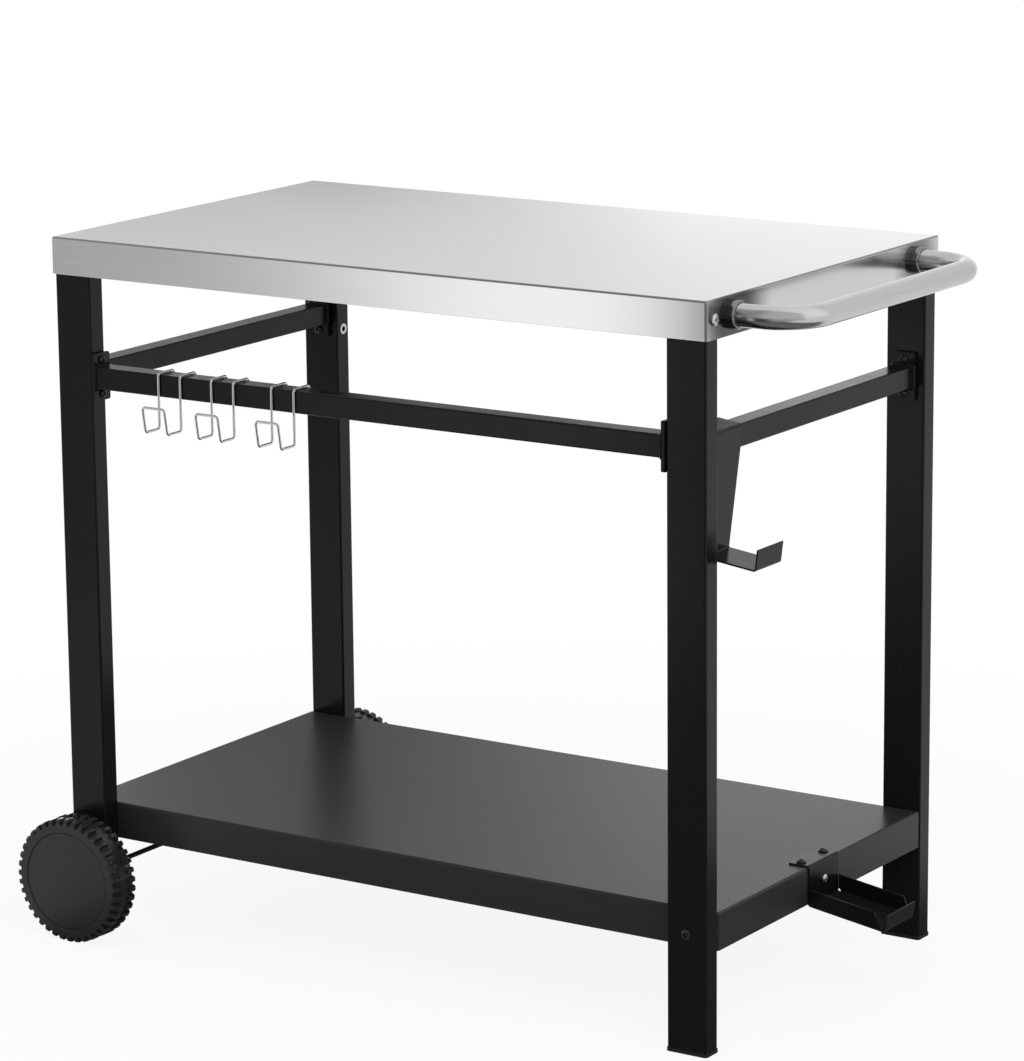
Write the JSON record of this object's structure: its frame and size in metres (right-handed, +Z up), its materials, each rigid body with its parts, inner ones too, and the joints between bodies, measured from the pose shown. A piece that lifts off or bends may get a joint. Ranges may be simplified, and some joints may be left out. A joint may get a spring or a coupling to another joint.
{
  "type": "pizza oven table",
  "caption": "Outdoor cart for a pizza oven: stainless pan top with push handle, black tube legs, lower shelf, lugged wheels, wire hooks, hanging tank hook and tank tray.",
  "frame": {"origin": "on the floor under the middle of the overall box, wheels to handle and tray", "axes": "+X towards the push handle, -Y towards the front with the hooks, +Z up"},
  "size_m": [0.9922, 0.584, 0.808],
  "materials": {
    "black_steel": "satin black powder coat",
    "stainless": "fine brushed stainless steel",
    "zinc": "bright zinc plating",
    "black_screw": "black oxide",
    "foot_plastic": "moulded black plastic",
    "bright_wire": "polished bright wire",
    "wheel_plastic": "moulded dark plastic"
  },
  "bodies": {
    "frame": {"front_left_leg": "black_steel", "front_right_leg": "black_steel", "back_left_leg": "black_steel", "back_right_leg": "black_steel", "lower_shelf": "black_steel", "front_rail": "black_steel", "left_rail": "black_steel", "right_rail": "black_steel", "tank_tray": "black_steel", "top_stiffener": "black_steel", "axle": "black_steel", "table_top": "stainless", "handle": "stainless", "front_handle_collar": "stainless", "back_handle_collar": "stainless", "top_screws": "stainless", "handle_bolts": "stainless", "front_left_rivet_nuts": "zinc", "front_right_rivet_nuts": "zinc", "back_left_rivet_nuts": "zinc", "back_right_rivet_nuts": "zinc", "shelf_nuts": "zinc", "axle_washers": "zinc", "axle_nuts": "zinc", "tray_nuts": "zinc", "tray_tap_screw": "zinc", "shelf_bolts": "black_screw", "tray_screws": "black_screw", "front_rail_screws": "black_screw", "left_rail_screws": "black_screw", "right_rail_screws": "black_screw", "front_right_foot": "foot_plastic", "back_right_foot": "foot_plastic", "front_left_plug": "foot_plastic", "back_left_plug": "foot_plastic"},
    "front_wheel": {"front_wheel": "wheel_plastic", "front_wheel_cap": "wheel_plastic"},
    "back_wheel": {"back_wheel": "wheel_plastic", "back_wheel_cap": "wheel_plastic"},
    "left_hook": {"left_hook": "bright_wire"},
    "middle_hook": {"middle_hook": "bright_wire"},
    "right_hook": {"right_hook": "bright_wire"},
    "tank_hook": {"tank_hook": "black_steel"}
  },
  "joints": [
    {"name": "front_wheel_spin", "type": "hinge", "parent": "frame", "child": "front_wheel", "pos_m": [-0.42356, -0.273, 0.0725], "axis": [0, 1, 0], "continuous": true},
    {"name": "back_wheel_spin", "type": "hinge", "parent": "frame", "child": "back_wheel", "pos_m": [-0.42356, 0.273, 0.0725], "axis": [0, 1, 0], "continuous": true},
    {"name": "left_hook_slide", "type": "slide", "parent": "frame", "child": "left_hook", "axis": [1, 0, 0], "range_m": [-0.085, 0.0195]},
    {"name": "middle_hook_slide", "type": "slide", "parent": "frame", "child": "middle_hook", "axis": [1, 0, 0], "range_m": [-0.0195, 0.0238]},
    {"name": "right_hook_slide", "type": "slide", "parent": "frame", "child": "right_hook", "axis": [1, 0, 0], "range_m": [-0.0238, 0.4595]},
    {"name": "tank_hook_slide", "type": "slide", "parent": "frame", "child": "tank_hook", "axis": [0, 1, 0], "range_m": [0, 0.3768]}
  ]
}
